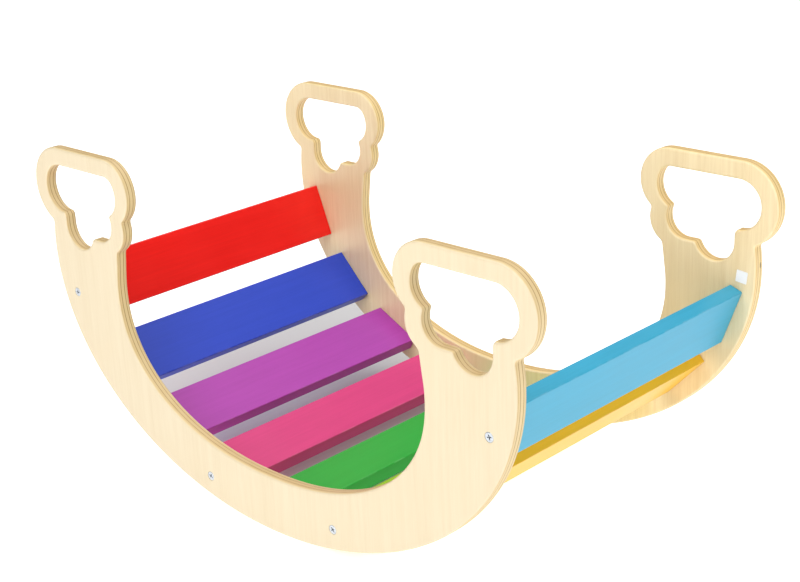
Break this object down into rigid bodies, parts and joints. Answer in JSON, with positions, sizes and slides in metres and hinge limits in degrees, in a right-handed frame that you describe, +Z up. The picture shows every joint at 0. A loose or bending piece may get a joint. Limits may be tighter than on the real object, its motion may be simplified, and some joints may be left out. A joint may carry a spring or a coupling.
{
  "type": "rocking seesaw",
  "caption": "Rigid rainbow rocker seesaw: plywood side panels with cloud-shaped loop handles, joined by coloured boards along a curved seat.",
  "frame": {"origin": "on the floor under the middle of the rocker, at the lowest point of the rocking edges", "axes": "+X along the rocker from one end to the other, +Y across it from the front panel to the back panel, +Z up"},
  "size_m": [0.862, 0.469, 0.434],
  "materials": {
    "birch_plywood": "sanded birch plywood under a thin clear satin lacquer, plies showing on the rounded edges",
    "paint_red": "smooth satin paint on a wooden board",
    "paint_blue": "smooth satin paint on a wooden board",
    "paint_purple": "smooth satin paint on a wooden board",
    "paint_pink": "smooth satin paint on a wooden board",
    "paint_green": "smooth satin paint on a wooden board",
    "paint_lime": "smooth satin paint on a wooden board",
    "paint_yellow": "smooth satin paint on a wooden board",
    "paint_amber": "smooth satin paint on a wooden board",
    "paint_light_blue": "smooth satin paint on a wooden board",
    "dowel_wood": "plain turned beech",
    "zinc_steel": "bright zinc plating",
    "label_paper": "blank white sticker"
  },
  "bodies": {
    "root": {"side_panel_front": "birch_plywood", "side_panel_back": "birch_plywood", "board_red": "paint_red", "board_blue": "paint_blue", "board_purple": "paint_purple", "board_pink": "paint_pink", "board_green": "paint_green", "board_lime": "paint_lime", "board_yellow": "paint_yellow", "board_amber": "paint_amber", "board_light_blue": "paint_light_blue", "dowel_front_red_a": "dowel_wood", "dowel_front_red_b": "dowel_wood", "dowel_front_blue_a": "dowel_wood", "dowel_front_blue_b": "dowel_wood", "dowel_front_purple_a": "dowel_wood", "dowel_front_purple_b": "dowel_wood", "dowel_front_pink_a": "dowel_wood", "dowel_front_pink_b": "dowel_wood", "dowel_front_green_a": "dowel_wood", "dowel_front_green_b": "dowel_wood", "dowel_front_lime_a": "dowel_wood", "dowel_front_lime_b": "dowel_wood", "dowel_front_yellow_a": "dowel_wood", "dowel_front_yellow_b": "dowel_wood", "dowel_front_amber_a": "dowel_wood", "dowel_front_amber_b": "dowel_wood", "dowel_front_light_blue_a": "dowel_wood", "dowel_front_light_blue_b": "dowel_wood", "dowel_back_red_a": "dowel_wood", "dowel_back_red_b": "dowel_wood", "dowel_back_blue_a": "dowel_wood", "dowel_back_blue_b": "dowel_wood", "dowel_back_purple_a": "dowel_wood", "dowel_back_purple_b": "dowel_wood", "dowel_back_pink_a": "dowel_wood", "dowel_back_pink_b": "dowel_wood", "dowel_back_green_a": "dowel_wood", "dowel_back_green_b": "dowel_wood", "dowel_back_lime_a": "dowel_wood", "dowel_back_lime_b": "dowel_wood", "dowel_back_yellow_a": "dowel_wood", "dowel_back_yellow_b": "dowel_wood", "dowel_back_amber_a": "dowel_wood", "dowel_back_amber_b": "dowel_wood", "dowel_back_light_blue_a": "dowel_wood", "dowel_back_light_blue_b": "dowel_wood", "screw_front_red": "zinc_steel", "screw_front_pink": "zinc_steel", "screw_front_lime": "zinc_steel", "screw_front_light_blue": "zinc_steel", "screw_back_red": "zinc_steel", "screw_back_pink": "zinc_steel", "screw_back_lime": "zinc_steel", "screw_back_light_blue": "zinc_steel", "label": "label_paper"}
  },
  "joints": []
}
